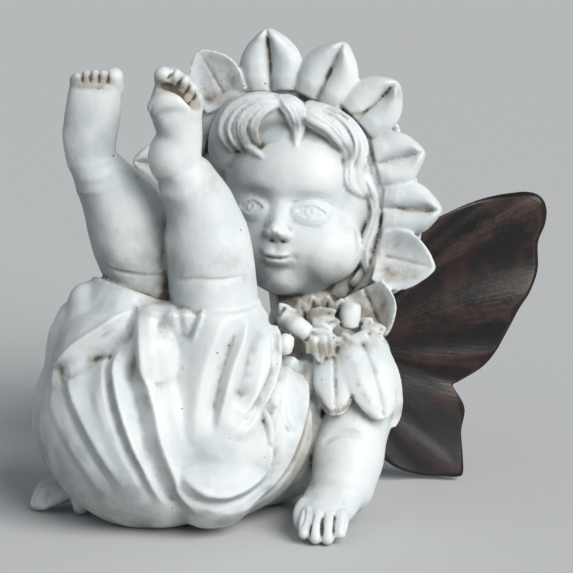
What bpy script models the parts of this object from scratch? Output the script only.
"""A garden statue: a baby fairy that lies back on its seat and kicks up its bare feet.

Three pieces: the figure, which is one casting with its romper, collar and petal bonnet, and two
thin wings, each glued by its root into a slot in the figure's back.

The frame is in metres, +Z up, and the statue looks towards -Y. The origin is on the floor, on the
flat that the seat rests on. Pose, proportions and carving follow the height: every place and
radius below is in UNITs, which the height holds 283.5 of, written (x, y, z).
"""

import math

import bmesh
import bpy
import numpy as np
from mathutils import Euler, Matrix, Vector
from mathutils.bvhtree import BVHTree

HEIGHT = 0.2835  # floor to the tip of the tallest petal
UNIT = HEIGHT / 283.5

WING_THICKNESS = 0.0036
WING_SPAN = 0.140  # hub to the far corner of the upper lobe
GLUE_GAP = 0.0004  # room all round a wing where it goes into the back

PETAL_THICKNESS = 0.0046
COLLAR_THICKNESS = 0.0050

SOFT_VOXEL = 2.0  # the grid on which rounded masses are fused, in UNITs
FINE_VOXEL = 1.35  # the grid for petals, locks, fingers and toes
FIGURE_TRIANGLES = 8000

WHITE_CAST = ((0.80, 0.81, 0.79), 0.55, 0.0)
BRONZE_CAST = ((0.075, 0.045, 0.036), 0.5, 0.35)


# Shapes


def spline(points, count):
    """Points at even steps along a smooth curve through the given points, with any extra numbers."""
    padded = [points[0], *points, points[-1]]
    stretches = len(points) - 1
    result = []
    for step in range(count):
        place = step / (count - 1) * stretches
        first = min(int(place), stretches - 1)
        t = place - first
        a, b, c, d = (Vector(p) for p in padded[first : first + 4])
        result.append(
            0.5 * (2 * b + (c - a) * t + (2 * a - 5 * b + 4 * c - d) * t**2 + (3 * b - a - 3 * c + d) * t**3)
        )
    return result


def mesh_of(bm):
    """A mesh, in metres, of a bmesh in UNITs."""
    bmesh.ops.scale(bm, vec=Vector((UNIT,) * 3), verts=bm.verts)
    mesh = bpy.data.meshes.new("form")
    bm.to_mesh(mesh)
    bm.free()
    return mesh


def ball(centre, radii, turn=(0, 0, 0), frame=None):
    """A sphere squashed to three radii, turned by angles in degrees."""
    bm = bmesh.new()
    bmesh.ops.create_icosphere(bm, subdivisions=4, radius=1)
    spin = Euler([math.radians(angle) for angle in turn]).to_matrix().to_4x4()
    size = Matrix.Diagonal((*radii, 1))
    bm.transform((frame or Matrix()) @ Matrix.Translation(centre) @ spin @ size)
    return mesh_of(bm)


def sweep(path, up=(0, 0, 1), flat=1.0, cap=1.0, rings=22, sides=14, frame=None):
    """A tube with round ends along a smooth curve. Each point of the path is (x, y, z, radius).

    flat squashes the tube along up, as for a lock of hair, and cap flattens its two ends.
    """
    stations = spline([Vector(p) for p in path], rings)
    centres = [Vector(s[:3]) for s in stations]
    radii = [s[3] for s in stations]
    tangents = [
        (centres[min(i + 1, rings - 1)] - centres[max(i - 1, 0)]).normalized() for i in range(rings)
    ]
    cap_steps = 4
    angles = [math.pi / 2 * (k + 0.5) / cap_steps for k in range(cap_steps)]
    sections = [
        (centres[0] - tangents[0] * cap * radii[0] * math.cos(a), tangents[0], radii[0] * math.sin(a)) for a in angles
    ]
    sections += list(zip(centres, tangents, radii))
    sections += [
        (centres[-1] + tangents[-1] * cap * radii[-1] * math.cos(a), tangents[-1], radii[-1] * math.sin(a))
        for a in reversed(angles)
    ]
    bm = bmesh.new()
    loops = []
    for centre, tangent, radius in sections:
        side = tangent.cross(Vector(up)).normalized()
        lift = side.cross(tangent)
        loops.append(
            [
                bm.verts.new(
                    centre
                    + side * radius * math.cos(2 * math.pi * k / sides)
                    + lift * radius * flat * math.sin(2 * math.pi * k / sides)
                )
                for k in range(sides)
            ]
        )
    for before, after in zip(loops, loops[1:]):
        for k in range(sides):
            bm.faces.new((before[k - 1], before[k], after[k], after[k - 1]))
    bm.faces.new(loops[0])
    bm.faces.new(reversed(loops[-1]))
    bmesh.ops.recalc_face_normals(bm, faces=bm.faces)
    if frame:
        bm.transform(frame)
    return mesh_of(bm)


def petal(base, tip, facing, width, thickness, puff=2.2, curl=20.0, cup=0.0, frame=None):
    """A thick pointed petal from base to tip that shows its front towards facing.

    puff swells the two halves beside the middle groove, curl bends the petal, in degrees, towards
    its front, and cup lifts its edges by a share of its width.
    """
    reach = Vector(tip) - Vector(base)
    bend = math.radians(curl) or 1e-6
    length = reach.length * bend / 2 / math.sin(bend / 2)
    along = reach.normalized()
    across = along.cross(Vector(facing)).normalized()
    face = across.cross(along)
    start = Matrix.Rotation(-bend / 2, 3, across)
    along, face = start @ along, start @ face
    rows, columns = 12, 12
    grids = ([], [])
    bm = bmesh.new()
    for i in range(rows + 1):
        s = 0.985 * i / rows
        turn = bend * s
        spine = Vector(base) + length / bend * (along * math.sin(turn) + face * (1 - math.cos(turn)))
        normal = face * math.cos(turn) - along * math.sin(turn)
        if s > 0.4:
            shape = math.cos(math.pi / 2 * (s - 0.4) / 0.6) ** 0.7
        else:
            shape = 0.74 + 0.26 * math.sin(math.pi / 2 * s / 0.4)
        half = width / 2 * shape
        fill = min(1, 2.4 * shape) * min(1, 0.4 + 3 * s)
        rows_now = ([], [])
        for j in range(columns + 1):
            t = 2 * j / columns - 1
            middle = spine + across * half * t + normal * cup * width * t * t * shape
            swell = puff * fill * math.sin(math.pi * min(1, abs(t) * 1.02)) ** 0.8
            edge = 0.5 * thickness * (1 - 0.55 * t**4)
            rows_now[0].append(bm.verts.new(middle + normal * (edge + swell)))
            rows_now[1].append(bm.verts.new(middle - normal * edge))
        for grid, row in zip(grids, rows_now):
            grid.append(row)
    for grid in grids:
        for low, high in zip(grid, grid[1:]):
            for j in range(columns):
                bm.faces.new((low[j], low[j + 1], high[j + 1], high[j]))
    loops = []
    for grid in grids:
        loop = grid[0][:] + [row[-1] for row in grid[1:]]
        loops.append(loop + grid[-1][-2::-1] + [row[0] for row in grid[-2:0:-1]])
    for k in range(len(loops[0])):
        bm.faces.new((loops[0][k - 1], loops[0][k], loops[1][k], loops[1][k - 1]))
    bmesh.ops.recalc_face_normals(bm, faces=bm.faces)
    if frame:
        bm.transform(frame)
    return mesh_of(bm)


def fuse(forms, voxel, rounds):
    """One mesh of many overlapping ones: they are remeshed together, then smoothed some rounds."""
    bm = bmesh.new()
    for form in forms:
        bm.from_mesh(form)
    joined = bpy.data.meshes.new("joined")
    bm.to_mesh(joined)
    bm.free()
    clay = bpy.data.objects.new("clay", joined)
    bpy.context.scene.collection.objects.link(clay)
    remesh = clay.modifiers.new("Fuse", "REMESH")
    remesh.mode = "VOXEL"
    remesh.voxel_size = voxel * UNIT
    smooth = clay.modifiers.new("Soften", "SMOOTH")
    smooth.factor = 0.5
    smooth.iterations = rounds
    graph = bpy.context.evaluated_depsgraph_get()
    fused = bpy.data.meshes.new_from_object(clay.evaluated_get(graph))
    bpy.data.objects.remove(clay)
    return fused


def press(mesh, path, width, lift, tree, from_front=True):
    """Raises a ridge along a path on the surface, or presses a groove where lift is negative.

    The path is put on the surface first: looked at from the front, its points are (x, z), and
    otherwise they are points near the surface.
    """
    samples = []
    for point in spline([Vector(p) for p in path], 26):
        if from_front:
            eye = Vector((point[0], -200, point[1])) * UNIT
            place = tree.ray_cast(eye, Vector((0, 1, 0)))[0]
        else:
            place = tree.find_nearest(point * UNIT)[0]
        if place:
            samples.append(place)
    line = np.array(samples)
    reach = width * UNIT / 2
    spots = np.empty(len(mesh.vertices) * 3)
    mesh.vertices.foreach_get("co", spots)
    spots = spots.reshape(-1, 3)
    near = np.all((spots > line.min(0) - reach) & (spots < line.max(0) + reach), axis=1)
    picked = np.nonzero(near)[0]
    best = np.full(len(picked), 1e9)
    where = np.zeros(len(picked))
    last = len(line) - 1
    for k in range(last):
        step = line[k + 1] - line[k]
        gap = spots[picked] - line[k]
        t = np.clip(gap @ step / max(step @ step, 1e-12), 0, 1)
        distance = np.linalg.norm(gap - t[:, None] * step, axis=1)
        closer = distance < best
        best[closer] = distance[closer]
        where[closer] = (k + t[closer]) / last
    normals = np.empty(len(mesh.vertices) * 3)
    mesh.vertices.foreach_get("normal", normals)
    ends = np.minimum(1, 3 * np.minimum(where, 1 - where))
    rise = lift * UNIT * (1 - np.minimum(1, best / reach) ** 2) ** 2 * (0.2 + 0.8 * ends)
    spots[picked] += normals.reshape(-1, 3)[picked] * rise[:, None]
    mesh.vertices.foreach_set("co", spots.ravel())
    mesh.update()


def laid(lines, tree, lift, flat):
    """Strands that follow the surface, looked at from the front: each is points (x, z) and a radius."""
    forms = []
    for line, radius in lines:
        path = []
        for k, (x, z) in enumerate(line):
            place, normal = tree.ray_cast(Vector((x, -200, z)) * UNIT, Vector((0, 1, 0)))[:2]
            if place is None:
                place, normal = tree.find_nearest(Vector((x, 40, z)) * UNIT)[:2]
            size = radius * (0.45 if k == len(line) - 1 else 0.75 if k == 0 else 1)
            path.append((*(place / UNIT + normal * size * lift), size))
        forms.append(sweep(path, up=(0.2, -1, 0.1), flat=flat, rings=20, sides=12))
    return forms


# The figure


def masses():
    """The romper, the trunk, the legs and the arms, as round soft forms."""
    romper = [
        ball((-30, -8, 62), (64, 60, 65)),
        ball((4, 2, 58), (66, 62, 60)),
        sweep([(-34, -8, 62, 50), (-42, -3, 100, 45), (-40, -1, 128, 38)], cap=0.35),
        sweep([(8, -22, 62, 48), (12, -25, 98, 41), (11, -24, 127, 32)], cap=0.35),
        ball((12, -34, 42), (34, 33, 41)),
    ]
    trunk = [
        sweep([(20, 18, 54, 54), (40, 34, 50, 51), (58, 44, 58, 46), (74, 52, 78, 38)]),
        sweep([(70, 54, 82, 30), (66, 60, 112, 24), (62, 62, 132, 22)]),
    ]
    right_leg = [
        sweep([(-28, 4, 118, 25), (-29, 3, 146, 25.5), (-36, 1, 166, 25.5), (-43, -2, 186, 23.5), (-54, -6, 204, 17)]),
        ball((-61, -11, 214), (13.5, 15, 13)),
        sweep([(-60.5, -11, 216, 14), (-60, -12, 231, 16), (-58.5, -14, 246, 16), (-57, -16, 253, 15.5)], up=(0, 1, 0), flat=0.7),
        sweep([(-66, -19, 252, 6.5), (-57, -21, 253, 7), (-49, -19, 254, 7)]),
    ]
    left_leg = [
        sweep([(11, -22, 116, 26), (9.5, -22, 148, 25.5), (6.5, -23, 172, 24.5), (3, -26, 190, 20.5), (-4, -31, 206, 17)]),
        ball((-12, -38, 219), (14, 15, 14)),
        sweep([(-10, -37, 222, 14), (-8, -37, 236, 13.6), (-9.5, -39, 250, 15.3)], up=(0, 1, 0), flat=0.75),
        sweep([(-18, -45, 252, 7.5), (-8, -46, 249, 7), (-1, -44, 244, 6.5)]),
    ]
    left_arm = [
        sweep([(98, 22, 74, 22), (95, 6, 61, 20.5), (90.5, -4, 50, 21), (88, -13, 38, 21), (85, -23, 26, 19)]),
        sweep([(85, -23, 25, 18), (79, -33, 17, 17.5), (74, -42, 12, 16.5), (72, -47, 9, 14.5)], flat=0.6),
    ]
    right_arm = [
        sweep([(50, 86, 76, 23), (24, 78, 62, 20), (-8, 62, 45, 17), (-40, 44, 30, 15), (-66, 26, 17, 13)]),
        sweep([(-64, 27, 17, 12.5), (-78, 18, 12, 13), (-86, 14, 9, 12)], flat=0.6),
    ]
    return romper, trunk, right_leg + left_leg, left_arm + right_arm


def fingers_and_toes():
    """Both hands rest on their finger tips, and the toes stand behind the balls of the feet."""
    forms = []
    for k in range(4):
        knuckle = Vector((62.5 + 7.2 * k, -49 + 1.1 * (k - 1.5) ** 2, 9))
        middle = Vector((61.5 + 7.0 * k, -55 + 1.1 * (k - 1.5) ** 2, 7.5))
        tip = Vector((60.8 + 6.9 * k, -59 + 1.1 * (k - 1.5) ** 2, 3.6))
        forms.append(sweep([(*knuckle, 4.6), (*middle, 4.6), (*tip, 3.9)], rings=8))
    forms.append(sweep([(62, -40, 16, 6.5), (56.5, -45, 12, 5.2), (56, -50, 6, 4.4)], rings=8))
    for k in range(4):
        knuckle = Vector((-88 - 1.2 * abs(k - 1.5), 12 + 6.0 * (k - 1.5), 10))
        bent = knuckle + Vector((-6, 0.6 * (k - 1.5), -1))
        tip = knuckle + Vector((-8, 0.8 * (k - 1.5), -6.5))
        forms.append(sweep([(*knuckle, 4.4), (*bent, 4.4), (*tip, 3.6)], rings=8))
    forms.append(sweep([(-74, 10, 13, 5.5), (-74, 2, 9, 4.8), (-75, 0, 4.2, 4)], rings=8))
    toes = [((-47, -13, 263), 6.5), ((-56, -14, 264), 4.7), ((-62, -14, 263.5), 4.4)]
    toes += [((-67.5, -14, 262), 4.1), ((-72, -13, 259.5), 3.7)]
    toes += [((-17, -38, 267), 6.4), ((-9, -38, 265.5), 4.7), ((-3.5, -37, 261), 4.4)]
    toes += [((0.8, -36, 256), 4.1), ((3.2, -35, 250.5), 3.7)]
    for (x, y, z), radius in toes:
        forms.append(sweep([(x, y + 2, z - 7, radius), (x, y, z, radius), (x, y - 2.5, z + 2.5, radius * 0.85)], rings=8))
    return forms


HEAD = Matrix.Translation((61, 66, 177)) @ Euler([math.radians(a) for a in (-9, 2, -17)]).to_matrix().to_4x4()


def head():
    """The head on plain infant proportions, in its own frame: the face looks along -Y."""
    skull = [
        ball((0, 6, 9), (51, 50, 57), frame=HEAD),
        ball((0, -9, -12), (43, 38, 45), frame=HEAD),
        ball((0, -14, 16), (40, 34, 32), frame=HEAD),
        ball((0, -28, -46), (15, 13, 12), frame=HEAD),
    ]
    skull += [ball((side * 23, -22, -25), (21, 20, 20), frame=HEAD) for side in (-1, 1)]
    soft = fuse(skull, SOFT_VOXEL, 14)
    tree = tree_of(soft)
    for side in (-1, 1):
        socket = [HEAD @ Vector((side * x, -46, z)) for x, z in ((6, 0), (18, -1), (30, -3))]
        press(soft, socket, 22, -4.5, tree, from_front=False)
    features = [
        sweep([(0, -43, 2, 3), (0, -46.5, -9, 3.6), (0, -49, -17, 5)], rings=10, frame=HEAD),
        ball((0, -41, -32), (12, 7.5, 9), frame=HEAD),
        sweep([(-9, -45, -33.5, 1.6), (-3, -48.5, -31, 2.6), (3, -48.5, -31, 2.6), (9, -45, -33.5, 1.6)], rings=14, frame=HEAD),
        sweep([(-7.5, -45, -36, 1.8), (0, -47.5, -37.5, 3), (7.5, -45, -36, 1.8)], rings=12, frame=HEAD),
    ]
    for side in (-1, 1):
        features.append(ball((side * 4.8, -46.5, -18.5), (3.8, 4, 3.4), frame=HEAD))
        features.append(ball((side * 18.5, -35.8, -3.5), (8.8, 7.5, 7.5), frame=HEAD))
        lid = [(10, -41, -3), (14, -43.8, 1.5), (19, -44.2, 3), (24, -42, 1.5), (28, -38.5, -3)]
        features.append(sweep([(side * x, y, z, 1.7) for x, y, z in lid], rings=14, frame=HEAD))
    return soft, features


# Each lock of hair, looked at from the front: points (x, z) over the head, then its radius.
LOCKS = [
    ([(52, 247), (44, 248), (31, 244), (16, 237), (13, 226), (19, 216)], 7.5),
    ([(50, 246), (38, 242), (24, 234), (21, 224), (28, 218), (38, 212)], 7.0),
    ([(48, 245), (40, 237), (35, 228), (38, 219)], 5.0),
    ([(50, 246), (53, 238), (56, 228), (57, 217)], 4.2),
    ([(50, 247), (66, 240), (79, 232), (88, 221), (88, 208)], 6.5),
    ([(54, 249), (76, 241), (92, 229), (98, 214), (91, 201), (98, 189)], 7.0),
    ([(70, 246), (90, 234), (102, 216), (103, 198), (105, 180), (101, 162), (100, 144)], 6.5),
    ([(82, 242), (99, 228), (108, 204), (110, 182), (107, 166), (104, 148)], 6.0),
    ([(30, 246), (8, 238), (2, 222), (4, 204), (-1, 186)], 7.5),
    ([(16, 242), (-2, 226), (-6, 206), (-4, 186), (-8, 164), (-4, 148)], 7.0),
]


# Grooves between and along the locks, looked at from the front: points (x, z), width and depth.
HAIR_GROOVES = [
    ([(47, 242), (36, 240), (24, 236), (17, 228), (18, 219)], 4.5, 2.4),
    ([(47, 240), (37, 234), (29, 226), (31, 217)], 4.5, 2.4),
    ([(51, 243), (48, 234), (47, 226)], 4.5, 2.2),
    ([(56, 243), (60, 234), (61, 224)], 4.5, 2.2),
    ([(56, 244), (72, 238), (86, 230), (93, 218), (92, 206)], 4.5, 2.4),
    ([(64, 246), (84, 237), (98, 222), (101, 206), (99, 192)], 4.5, 2.4),
    ([(106, 206), (108, 190), (104, 172), (103, 154)], 4.5, 2.2),
]

RING_CENTRE = Vector((0, -12, 4))  # of the bonnet's rim, in the head's frame
RING_HALF = (54, 67)
# Petals round the face from under the left ear: base, tip, width, swelling of the front, cupping.
FRONT_PETALS = [
    ((97, 29, 135), (111, 19, 104), 33, -0.6, 0.16),
    ((103, 31, 153), (141, 17, 145), 37, -0.6, 0.16),
    ((106, 34, 180), (145, 21, 179), 34, 2.8, 0.0),
    ((102, 38, 205), (135, 30, 213), 34, 2.8, 0.0),
    ((91, 46, 228), (119, 41, 254), 35, 2.8, 0.0),
    ((68, 54, 238), (87, 55, 277), 38, 2.8, 0.0),
    ((43, 62, 242), (41, 70, 284), 40, 2.8, 0.0),
    ((19, 69, 235), (-2, 80, 269), 36, -0.6, 0.14),
    ((5, 74, 218), (-26, 86, 240), 34, 2.4, 0.0),
    ((-2, 76, 196), (-43, 82, 200), 35, 2.4, 0.0),
    ((-2, 74, 172), (-40, 80, 161), 35, 2.4, 0.0),
    ((4, 70, 150), (-26, 74, 122), 34, 2.4, 0.0),
]


def bonnet():
    """A cap over the back of the head, its rim, and two rows of petals."""
    thickness = PETAL_THICKNESS / UNIT
    face_way = HEAD.to_3x3() @ Vector((0, -1, 0))
    forms = [ball((0, 9, 8), (57, 54, 66), frame=HEAD)]
    rim = []
    for angle in range(-80, 261, 17):
        a = math.radians(angle)
        rim.append((*(RING_CENTRE + Vector((RING_HALF[0] * math.cos(a), 3, RING_HALF[1] * math.sin(a)))), 5))
    forms.append(sweep(rim, up=(0, 1, 0), rings=60, frame=HEAD))
    for base, tip, width, puff, cup in FRONT_PETALS:
        out = (Vector(tip) - Vector(base)).normalized()
        start = Vector(base) - out * 5
        forms.append(petal(start, tip, face_way + out * 0.3, width, thickness, puff, 26, cup))
    for (b0, t0, w0, _, _), (b1, t1, w1, _, _) in zip(FRONT_PETALS, FRONT_PETALS[1:]):
        base = (Vector(b0) + Vector(b1)) / 2 - face_way * 5
        tip = (Vector(t0) + Vector(t1)) / 2 - face_way * 12
        out = (tip - base).normalized()
        tip = base + out * 0.84 * (tip - base).length
        forms.append(petal(base - out * 5, tip, face_way + out * 0.5, (w0 + w1) / 2, thickness, 1.8, 16))
    return forms


# Petals over the left shoulder and round the neck: base, tip, the way that each faces, and width.
COLLAR_PETALS = [
    ((81, -3, 104), (81, -19, 63), (-0.2, -1, 0.3), 22),
    ((97, 3, 106), (110, -13, 59), (0.4, -1, 0.4), 28),
    ((115, 20, 94), (120, 12, 45), (1, -0.6, 0.3), 24),
    ((98, 80, 98), (108, 107, 68), (0.6, 0.8, 0.5), 23),
    ((78, 88, 98), (80, 116, 72), (0, 1, 0.6), 23),
    ((56, 80, 98), (40, 104, 78), (-0.7, 0.8, 0.7), 23),
    ((44, 62, 98), (20, 70, 84), (-1, 0.1, 0.9), 23),
]


def collar():
    """Petals that lie over the shoulders, and the ribbon, leaves and buds under the chin."""
    thickness = COLLAR_THICKNESS / UNIT
    forms = [sweep([(76, 46, 94, 38), (72, 48, 102, 33), (68, 52, 110, 26)], cap=0.4)]
    for base, tip, facing, width in COLLAR_PETALS:
        forms.append(petal(base, tip, facing, width, thickness, 1.6, curl=-24, cup=-0.06))
    for base, tip, facing, width in RIBBON_LEAVES:
        forms.append(petal(base, tip, facing, width, 4.5, 1.2, curl=-20))
    for path in RIBBON_ROLLS:
        forms.append(sweep(path, cap=0.5, rings=10))
    return forms


RIBBON_LEAVES = [
    ((74, 10, 116), (64, -2, 112), (-0.2, -1, 0.4), 13),
    ((76, 8, 112), (70, -5, 95), (0, -1, 0.2), 13),
    ((78, 8, 110), (84, -3, 98), (0.3, -1, 0.2), 12),
    ((78, 8, 113), (90, 0, 108), (0.3, -1, 0.6), 11),
    ((61, 4, 108), (52, -8, 98), (-0.2, -1, 0.2), 10),
    ((98, 14, 112), (105, 6, 108), (0.4, -1, 0.5), 12),
]
RIBBON_ROLLS = [
    [(53, 4, 120, 6), (58, -1, 115.5, 6.8), (62.5, -4, 111, 6.4)],
    [(88, 10, 114, 6), (90, 6, 121, 7.4), (91, 5, 126, 7)],
    [(88, 6, 109, 4), (95, 2, 105.5, 4.5)],
    [(60, 12, 117, 6), (76, 12, 115, 8), (94, 16, 115, 7)],
]
# The little tie on the hip, looked at from the front.
TIES = [
    ([(41, 50), (40.5, 60), (38, 70)], 2.6),
    ([(40.5, 60), (43, 66), (47, 71)], 2.4),
]


def cuffs():
    """The gathered edges of the romper round each leg."""
    forms = []
    for centre, half in (((-35, 1, 140), 28.5), ((11, -24, 137.5), 27.5)):
        loop = []
        for k in range(-1, 17):
            a = math.radians(k * 22.5)
            loop.append((centre[0] + half * math.cos(a), centre[1] + half * math.sin(a), centre[2] + 0.5 * (-1) ** k, 3.6))
        forms.append(sweep(loop, rings=44, sides=10))
    return forms


# Folds of the romper, looked at from the front: points (x, z) on the cloth, then width and height.
FOLDS = [
    ([(-62, 134), (-80, 112), (-86, 84), (-76, 48)], 15, 3.2),
    ([(-38, 134), (-62, 120), (-69, 100), (-62, 66), (-42, 26)], 16, 4.2),
    ([(-40, 122), (-52, 108), (-50, 84), (-38, 50), (-22, 22)], 13, 3.0),
    ([(-27, 136), (-30, 112), (-24, 80), (-10, 44), (6, 14)], 17, 4.6),
    ([(-14, 134), (-12, 108), (-8, 82), (2, 56)], 13, 3.0),
    ([(4, 136), (4, 116), (2, 96)], 12, 2.6),
    ([(24, 130), (17, 104), (10, 70), (8, 46)], 15, 3.6),
    ([(40, 128), (36, 104), (26, 80), (12, 64)], 14, 4.2),
    ([(44, 84), (44, 58), (34, 34), (14, 22), (-4, 20)], 12, 3.2),
    ([(52, 112), (58, 84), (52, 52), (38, 26)], 15, 3.2),
    ([(-84, 60), (-70, 34), (-50, 16)], 13, 2.6),
]
CREASES = [
    ([(-52, 128), (-60, 110), (-60, 90), (-52, 62)], 9, -2.6),
    ([(-20, 134), (-21, 108), (-16, 80), (-4, 50)], 9, -3.2),
    ([(32, 126), (27, 100), (18, 76)], 9, -3.4),
    ([(38, 78), (34, 62), (18, 52)], 8, -2.4),
]
# Fat folds where the limbs bend: points near the skin, then width and depth.
SKIN_CREASES = [
    ([(-70, -46, 206), (-60, -50, 203), (-48, -46, 206)], 7, -1.6),
    ([(-22, -48, 205), (-10, -52, 202), (6, -46, 205)], 7, -1.6),
    ([(68, -38, 32), (80, -46, 31), (94, -38, 34)], 6, -1.4),
    ([(74, -14, 62), (86, -24, 62), (102, -18, 64)], 8, -1.8),
]


def drape_back(mesh, tree):
    """Folds round the hidden side of the romper, at even steps about its middle."""
    for k in range(9):
        a = math.radians(-20 + k * 24)
        out = Vector((math.cos(a), math.sin(a), 0))
        path = [Vector((-4, 2, 118)) + out * 50, Vector((-4, 2, 74)) + out * 76, Vector((-4, 2, 24)) + out * 56]
        press(mesh, path, 15, 2.8, tree, from_front=False)


def tree_of(mesh):
    return BVHTree.FromPolygons([v.co for v in mesh.vertices], [p.vertices for p in mesh.polygons])


def sculpt():
    """The whole figure as one fine mesh, before it is thinned and cut."""
    romper, trunk, legs, arms = masses()
    skull, features = head()
    skull_tree = tree_of(skull)
    body = fuse(romper + trunk, SOFT_VOXEL, 8)
    tree = tree_of(body)
    for path, width, lift in FOLDS + CREASES:
        press(body, path, width, lift, tree)
    drape_back(body, tree)
    limbs = fuse(legs + arms, SOFT_VOXEL, 5)
    trims = fingers_and_toes() + cuffs() + features + bonnet() + collar()
    trims += laid(LOCKS, skull_tree, 0.55, 0.85) + laid(TIES, tree, 0.7, 0.8)
    figure = fuse([body, limbs, skull] + trims, FINE_VOXEL, 2)
    skin = tree_of(figure)
    face_way = HEAD.to_3x3() @ Vector((0, -1, 0))
    petals = [(base, tip, face_way, 3.2) for base, tip, *_ in FRONT_PETALS]
    petals += [(base, tip, Vector(facing).normalized(), 2.6) for base, tip, facing, _ in COLLAR_PETALS]
    for base, tip, facing, depth in petals:
        line = [Vector(base).lerp(Vector(tip), t) + facing * 3 for t in (0.0, 0.35, 0.65, 0.95)]
        press(figure, line, 7, -depth, skin, from_front=False)
    for line, width, depth in HAIR_GROOVES:
        press(figure, line, width, -depth, skin)
    for path, width, lift in SKIN_CREASES:
        press(figure, path, width, lift, skin, from_front=False)
    return figure


def thinned(mesh, triangles):
    """The mesh with fewer triangles: most are kept where it curves."""
    clay = bpy.data.objects.new("clay", mesh)
    bpy.context.scene.collection.objects.link(clay)
    thin = clay.modifiers.new("Thin", "DECIMATE")
    thin.ratio = triangles / (2 * len(mesh.polygons))
    graph = bpy.context.evaluated_depsgraph_get()
    result = bpy.data.meshes.new_from_object(clay.evaluated_get(graph))
    bpy.data.objects.remove(clay)
    return result


def cut_level(mesh):
    """Cuts off what is under the floor, and closes each cut with a flat face to rest on."""
    bm = bmesh.new()
    bm.from_mesh(mesh)
    everything = bm.verts[:] + bm.edges[:] + bm.faces[:]
    cut = bmesh.ops.bisect_plane(bm, geom=everything, plane_co=(0, 0, 0), plane_no=(0, 0, -1), clear_outer=True)
    rims = [part for part in cut["geom_cut"] if isinstance(part, bmesh.types.BMEdge)]
    bmesh.ops.holes_fill(bm, edges=rims)
    bmesh.ops.triangulate(bm, faces=bm.faces)
    bm.to_mesh(mesh)
    bm.free()


# The wings

# Where the hub of each wing is, and the way that it points, in degrees from +X to +Y.
WINGS = {"left": (Vector((104, 63, 86)), 5), "right": (Vector((58, 105, 87)), 92)}
# The wing's outline round its hub: degrees above level, and share of the span.
WING_OUTLINE = [
    (112, 0.10), (98, 0.15), (86, 0.21), (76, 0.30), (74, 0.42), (73, 0.54), (68, 0.614), (63, 0.667),
    (54.6, 0.80), (48.4, 0.91), (45, 0.973), (42, 1.00), (38.7, 0.985), (35.5, 0.94), (32, 0.87),
    (25, 0.815), (19.5, 0.742), (13.4, 0.657), (-0.7, 0.561), (-11, 0.50), (-22, 0.425), (-26, 0.41),
    (-33, 0.50), (-43.3, 0.565), (-49.8, 0.648), (-54.1, 0.715), (-56.5, 0.715), (-61, 0.68), (-67, 0.645),
    (-74, 0.59), (-83, 0.51), (-94, 0.39), (-106, 0.24), (-118, 0.14),
]


def wing_blade():
    """A wing in its own frame: X along the span, Z up, its thickness along Y, with ribs like a fan."""
    outline = spline([Vector((a, r * WING_SPAN / UNIT, 0)) for a, r in WING_OUTLINE], 44)
    rings = 4
    thickness = WING_THICKNESS / UNIT
    bm = bmesh.new()
    grids = []
    for side in (1, -1):
        grid = []
        for i in range(rings + 1):
            share = 0.07 + 0.93 * i / rings
            row = []
            for angle, reach, _ in outline:
                a = math.radians(angle)
                r = share * reach
                rib = 0.022 * r * math.sin(a * 12)
                bow = 0.05 * r * r / 112
                step = 2.5 * share * math.tanh((angle + 27 - 22 * share) / 5)
                edge = 0.5 * thickness * (1 - 0.4 * share**6)
                row.append(bm.verts.new((r * math.cos(a), rib + bow - step + side * edge, r * math.sin(a))))
            grid.append(row)
        grids.append(grid)
        for low, high in zip(grid, grid[1:]):
            for j in range(len(low) - 1):
                bm.faces.new((low[j], low[j + 1], high[j + 1], high[j]))
    loops = []
    for grid in grids:
        loop = grid[0][:] + [row[-1] for row in grid[1:]]
        loops.append(loop + grid[-1][-2::-1] + [row[0] for row in grid[-2:0:-1]])
    for k in range(len(loops[0])):
        bm.faces.new((loops[0][k - 1], loops[0][k], loops[1][k], loops[1][k - 1]))
    bmesh.ops.recalc_face_normals(bm, faces=bm.faces)
    return bm


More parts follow.
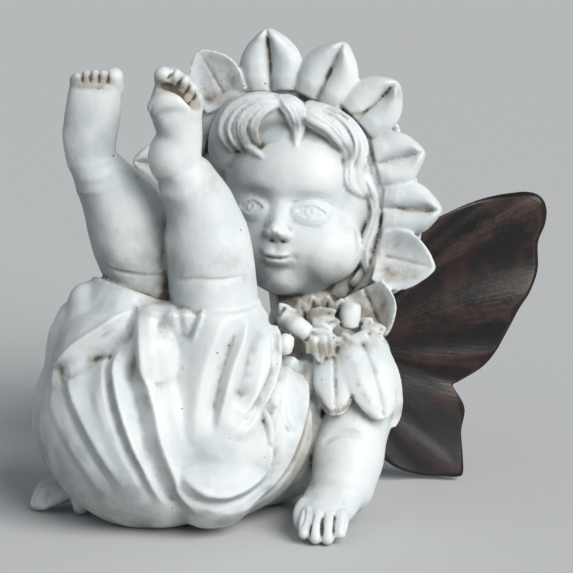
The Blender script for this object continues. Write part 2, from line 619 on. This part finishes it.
def wing_place(side):
    """Where a wing stands; the right one is cast as the mirror image of the left one."""
    hub, turn = WINGS[side]
    mirror = Matrix.Diagonal((1, 1 if side == "left" else -1, 1, 1))
    return Matrix.Translation(hub) @ Matrix.Rotation(math.radians(turn), 4, "Z") @ mirror


def wing(side, swell=0.0):
    """One wing; swell makes it fatter all over, for the slot that it goes into."""
    bm = wing_blade()
    if swell:
        bm.normal_update()
        moves = [(vertex, vertex.normal * swell / UNIT) for vertex in bm.verts]
        for vertex, move in moves:
            vertex.co += move
    bm.transform(wing_place(side))
    bm.normal_update()
    bmesh.ops.recalc_face_normals(bm, faces=bm.faces)
    return mesh_of(bm)


def slotted(mesh, cutter):
    """The mesh less what the cutter takes out of it."""
    block = bpy.data.objects.new("block", mesh)
    tool = bpy.data.objects.new("tool", cutter)
    for piece in (block, tool):
        bpy.context.scene.collection.objects.link(piece)
    carve = block.modifiers.new("Slot", "BOOLEAN")
    carve.operation = "DIFFERENCE"
    carve.solver = "MANIFOLD"
    carve.object = tool
    graph = bpy.context.evaluated_depsgraph_get()
    result = bpy.data.meshes.new_from_object(block.evaluated_get(graph))
    bpy.data.objects.remove(block)
    bpy.data.objects.remove(tool)
    return result


def material(name, look):
    colour, roughness, metallic = look
    made = bpy.data.materials.new(name)
    made.use_nodes = True
    shader = made.node_tree.nodes["Principled BSDF"]
    shader.inputs["Base Color"].default_value = (*colour, 1)
    shader.inputs["Roughness"].default_value = roughness
    shader.inputs["Metallic"].default_value = metallic
    return made


def placed(name, mesh, look):
    mesh.name = name
    mesh.materials.clear()
    mesh.materials.append(look)
    piece = bpy.data.objects.new(name, mesh)
    bpy.context.scene.collection.objects.link(piece)
    return piece


def main():
    for old in list(bpy.data.objects):
        bpy.data.objects.remove(old)
    white = material("white_cast", WHITE_CAST)
    figure = thinned(sculpt(), FIGURE_TRIANGLES)
    cut_level(figure)
    for side in WINGS:
        figure = slotted(figure, wing(side, GLUE_GAP * 1.8))
    placed("figure", figure, white)
    bronze = material("bronze_cast", BRONZE_CAST)
    for side in WINGS:
        placed(f"{side}_wing", wing(side), bronze)


main()
